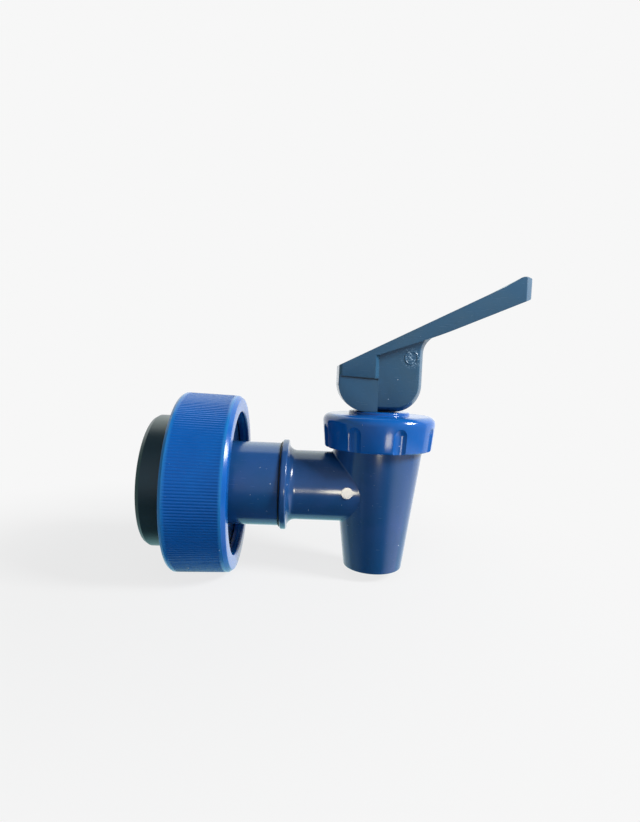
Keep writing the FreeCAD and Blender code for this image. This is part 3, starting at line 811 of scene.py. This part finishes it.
slate_blue = moulded_plastic(
    "slate_blue_lever_plastic", paint(50, 84, 108), paint(36, 80, 112), 0.22, 0.06, 0.015 * MM, 0.15
)
tree = slate_blue.node_tree
spot = place_node(tree, "ShaderNodeTexCoord").outputs["Object"]
flat = place_node(
    tree, "ShaderNodeVectorMath", {0: spot, 1: (1, 0, 1)}, operation="MULTIPLY"
).outputs["Vector"]
off = place_node(
    tree, "ShaderNodeVectorMath", {0: flat, 1: Vector((ring_x, 0, ring_z)) * MM}, operation="DISTANCE"
).outputs["Value"]
across = place_node(tree, "ShaderNodeSeparateXYZ", {0: spot}).outputs["Y"]
near_side = maths(tree, "LESS_THAN", across, (0.3 - block_half) * MM)
near_ring = maths(tree, "MULTIPLY", ranged(tree, off, 3.4 * MM, 1.2 * MM), near_side)
chips = place_node(
    tree, "ShaderNodeTexNoise", {"Vector": spot, "Scale": 1500.0, "Detail": 3.0, "Distortion": 1.5}
).outputs["Fac"]
chips = maths(tree, "MULTIPLY", ranged(tree, chips, 0.55, 0.64), near_ring)
lay_over(tree, chips, paint(150, 180, 204))
dress(lever, slate_blue, "handle", "lever_plastic", 32, "lever")


# The coupling nut: a large loose collar that pulls the tap onto the vessel's neck.
# Bright blue plastic with fine straight grip ribs between two plain rims, an inward
# lip in front, and a coarse thread inside.
nut_low, nut_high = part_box("coupling_nut")
nut_rear_x, nut_front_x = nut_low.x / MM, nut_high.x / MM
nut_rear_r, nut_front_r, nut_bore_r, nut_hole_r = nut_high.z / MM, 26.4, 24.4, 21.55
rear_bevel, front_bevel_x, lip_x = 0.8, nut_front_x - 1.1, nut_front_x - 3.0
rim_rear_x, rim_front_x, rib_step = nut_rear_x + 1.65, nut_front_x - 1.95, 0.25


def nut_side(x):
    """Outer radius of the tapered nut."""
    share = (x - nut_rear_x - rear_bevel) / (nut_front_x - nut_rear_x - rear_bevel)
    return nut_rear_r + (nut_front_r - nut_rear_r) * share


rib_columns, rib_count, rib_depth = 6, 200, 0.10
nut = turned("ribbed_nut", rounded([
    (nut_rear_x, nut_bore_r + rear_bevel),
    (nut_rear_x, nut_rear_r - 0.5, 0.12),
    (nut_rear_x + rear_bevel, nut_rear_r, 0.3),
    (rim_rear_x, nut_side(rim_rear_x)),
    (rim_rear_x + rib_step, nut_side(rim_rear_x + rib_step)),
    (rim_front_x - rib_step, nut_side(rim_front_x - rib_step)),
    (rim_front_x, nut_side(rim_front_x)),
    (front_bevel_x, nut_front_r, 0.3),
    (nut_front_x, nut_front_r - 0.8, 0.4),
    (nut_front_x, nut_hole_r, 0.5),
    (lip_x, nut_hole_r),
    (lip_x, nut_bore_r),
    (nut_rear_x + rear_bevel, nut_bore_r),
], 4), rib_columns * rib_count)
bpy.ops.object.mode_set(mode="EDIT")
bpy.ops.mesh.select_all(action="DESELECT")
bpy.ops.mesh.select_mode(type="VERT")
edit = bmesh.from_edit_mesh(nut.data)
rib_turn = 2 * math.pi / rib_count
for vert in edit.verts:
    x = vert.co.x / MM
    if rim_rear_x + 0.01 < x < rim_front_x - 0.01 and vert.co.yz.length > (nut_bore_r + 1.5) * MM:
        column = round(math.atan2(vert.co.z, vert.co.y) / rib_turn * rib_columns) % rib_columns
        vert.select = column < rib_columns / 2
edit.select_flush(True)
bmesh.update_edit_mesh(nut.data)
shrink = 1 - rib_depth / nut_rear_r
bpy.ops.transform.resize(value=(1, shrink, shrink), center_override=(0, 0, 0))
bpy.ops.object.mode_set(mode="OBJECT")

thread_pitch, thread_turns, thread_x = 3.0, 3, nut_rear_x + 2.4
crest_half, crest_r, root_half, root_r = 0.35, 23.5, 0.95, nut_bore_r + 0.1
thread_points = [
    Vector((thread_x + across, 0, radius)) * MM for across, radius in (
        (-root_half, root_r), (-crest_half, crest_r), (crest_half, crest_r), (root_half, root_r),
    )
]
thread = drawn("inner_thread", thread_points + thread_points[:1])
bpy.ops.object.mode_set(mode="OBJECT")
wind = thread.modifiers.new("wind", "SCREW")
wind.axis = "X"
thread_steps = 90
wind.steps = thread_steps
wind.render_steps = thread_steps
wind.iterations = thread_turns
wind.screw_offset = thread_pitch * MM
wind.use_smooth_shade = False
bpy.ops.object.modifier_apply(modifier=wind.name)
bpy.ops.object.mode_set(mode="EDIT")
bpy.ops.mesh.select_all(action="SELECT")
bpy.ops.mesh.fill_holes(sides=4)
tidy_shell()
combine(nut, thread, "UNION")

nut_blue = moulded_plastic(
    "bright_blue_nut_plastic", paint(4, 88, 168), paint(2, 80, 158), 0.18, 0.06, 0.012 * MM, 0.15
)
tree = nut_blue.node_tree
spot = place_node(tree, "ShaderNodeTexCoord").outputs["Object"]
along = place_node(tree, "ShaderNodeSeparateXYZ", {0: spot}).outputs["X"]
# the rear rim and the front rim's edge are painted a paler cyan: a painted highlight standing in for the
# glints along them
rear_rim = ranged(tree, along, (rim_rear_x + 0.2) * MM, (rim_rear_x - 0.8) * MM)
front_rim = ranged(tree, along, (rim_front_x - 0.2) * MM, (rim_front_x + 0.5) * MM)
behind_bevel = ranged(tree, along, (front_bevel_x + 0.2) * MM, (front_bevel_x - 0.2) * MM)
painted_rim_glint = maths(tree, "MAXIMUM", rear_rim, maths(tree, "MULTIPLY", front_rim, behind_bevel))
rim_glint_strength = 0.28
shader = lay_over(tree, maths(tree, "MULTIPLY", painted_rim_glint, rim_glint_strength), paint(60, 170, 235))
shader.inputs["Specular IOR Level"].default_value = 0.3
dress(nut, nut_blue, "nut", "nut_plastic", 30, "coupling_nut")


# The flanged adapter: the nut's lip holds its flange, the tap screws into its
# front, and its barbed tail holds the rubber plug. The same deep blue plastic.
plug_low, plug_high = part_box("neck_plug")
sleeve_low, sleeve_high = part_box("flanged_sleeve")
brim_x = plug_high.x / MM
sleeve_front_x, sleeve_rear_x = sleeve_high.x / MM, sleeve_low.x / MM
flange_x = brim_x + 3.0
flange_r = sleeve_high.z / MM
socket_r, adapter_r, tail_r, tail_bore_r, barb_r, barb_length = 9.56, 12.54, 10.6, 7.5, 11.7, 2.6
socket_floor_x = shank_rear_x - 0.35
sleeve = turned("flanged_adapter", rounded([
    (socket_floor_x, tail_bore_r),
    (socket_floor_x, socket_r),
    (sleeve_front_x, socket_r),
    (sleeve_front_x, adapter_r, 0.3),
    (flange_x, adapter_r, 0.8),
    (flange_x, flange_r, 0.4),
    (brim_x, flange_r),
    (brim_x, tail_r),
    (sleeve_rear_x + barb_length, tail_r),
    (sleeve_rear_x + barb_length, barb_r, 0.15),
    (sleeve_rear_x, tail_r, 0.2),
    (sleeve_rear_x, tail_bore_r, 0.2),
], 5), 160)
dress(sleeve, body_blue, "tap", "body_plastic", 30, "flanged_sleeve")


# The gasket: a thin ring of black rubber on the shank. The bead squeezes it against
# the adapter.
gasket_r = gasket_high.z / MM
gasket = turned("black_gasket", rounded([
    (gasket_low.x / MM, shank_r),
    (gasket_low.x / MM, gasket_r, 0.2),
    (gasket_high.x / MM, gasket_r, 0.2),
    (gasket_high.x / MM, shank_r),
], 5), 160)


def worn_rubber(name, pale, deep, roughness):
    """Dull rubber with a slow bloom and a fine grain."""
    material, skin = skinned(name, pale, deep, 55.0, 1500.0, roughness, 0.12)
    close_off(
        material.node_tree, skin["Color"], skin["Roughness"], skin["Height"], 0.6, 0.03 * MM
    )
    return material


black_rubber = worn_rubber("black_gasket_rubber", paint(14, 18, 24), paint(6, 9, 14), 0.45)
dress(gasket, black_rubber, "tap", "rubber", 40, "shank_gasket")


# The rubber plug: it goes into the vessel's neck, and its brim seals on the rim.
# Dark green-black rubber, recessed behind round the adapter's barb.
plug_rear_x = plug_low.x / MM
plug_r = 19.7
recess_x, recess_edge_r, barb_seat_r = plug_rear_x + 2.6, barb_r + 1.5, barb_r + 0.1
plug = turned("rubber_plug", rounded([
    (brim_x, tail_r),
    (brim_x, flange_r, 0.5),
    (0, flange_r, 0.5),
    (0, plug_r),
    (plug_rear_x + 1.2, plug_r, 0.3),
    (plug_rear_x, plug_r - 0.7, 0.4),
    (plug_rear_x, recess_edge_r, 0.5),
    (recess_x, barb_seat_r),
    (recess_x + barb_length, barb_seat_r),
    (recess_x + barb_length, tail_r),
], 5), 160)
green_black_rubber = worn_rubber("green_black_plug_rubber", paint(24, 58, 70), paint(12, 42, 54), 0.30)
dress(plug, green_black_rubber, "tap", "rubber", 40, "neck_plug")


# The inner pieces: a steel pin, spring and washer, a white plastic stem, and a milky
# silicone cup. They keep their CAD meshes, and each gets a finish of its own.
def inner_finish(name, pale, deep, roughness, metal, flow_scale, grain_scale):
    """Finish of a small inner piece, from metal or plain plastic."""
    material, skin = skinned(name, pale, deep, flow_scale, grain_scale, roughness, 0.1)
    close_off(
        material.node_tree, skin["Color"], skin["Roughness"], skin["Height"], 0.4, 0.01 * MM, metal
    )
    return material


steel = inner_finish(
    "drawn_steel", paint(205, 206, 208), paint(176, 178, 182), 0.22, 1.0, 300.0, 5000.0
)
acetal = inner_finish(
    "white_stem_plastic", paint(240, 240, 234), paint(226, 226, 218), 0.38, 0.0, 90.0, 2200.0
)
silicone = inner_finish(
    "milky_silicone", paint(222, 228, 228), paint(204, 212, 214), 0.48, 0.0, 80.0, 1600.0
)
for node_name, finish in (("lever_pin", steel), ("spring_washer", steel), ("valve_stem", acetal)):
    cad_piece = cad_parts[node_name]
    cad_piece.data.materials.clear()
    cad_piece.data.materials.append(finish)

# spring and cup are shown as copies of their CAD meshes
for node_name, finish, slot_name, fixed_z in (
    ("return_spring", steel, "steel", guide_z), ("seat_cup", silicone, "silicone", top_z),
):
    cad_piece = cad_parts[node_name]
    flexing = bpy.data.objects.new("flexing_" + node_name, cad_piece.data.copy())
    bpy.context.collection.objects.link(flexing)
    flexing.matrix_world = cad_piece.matrix_world.copy()
    choose(flexing)
    bpy.ops.object.transform_apply(location=True, rotation=True, scale=True)
    bpy.ops.object.mode_set(mode="EDIT")
    tidy_shell()
    dress(flexing, finish, "tap", slot_name, 35, node_name)
    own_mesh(flexing)
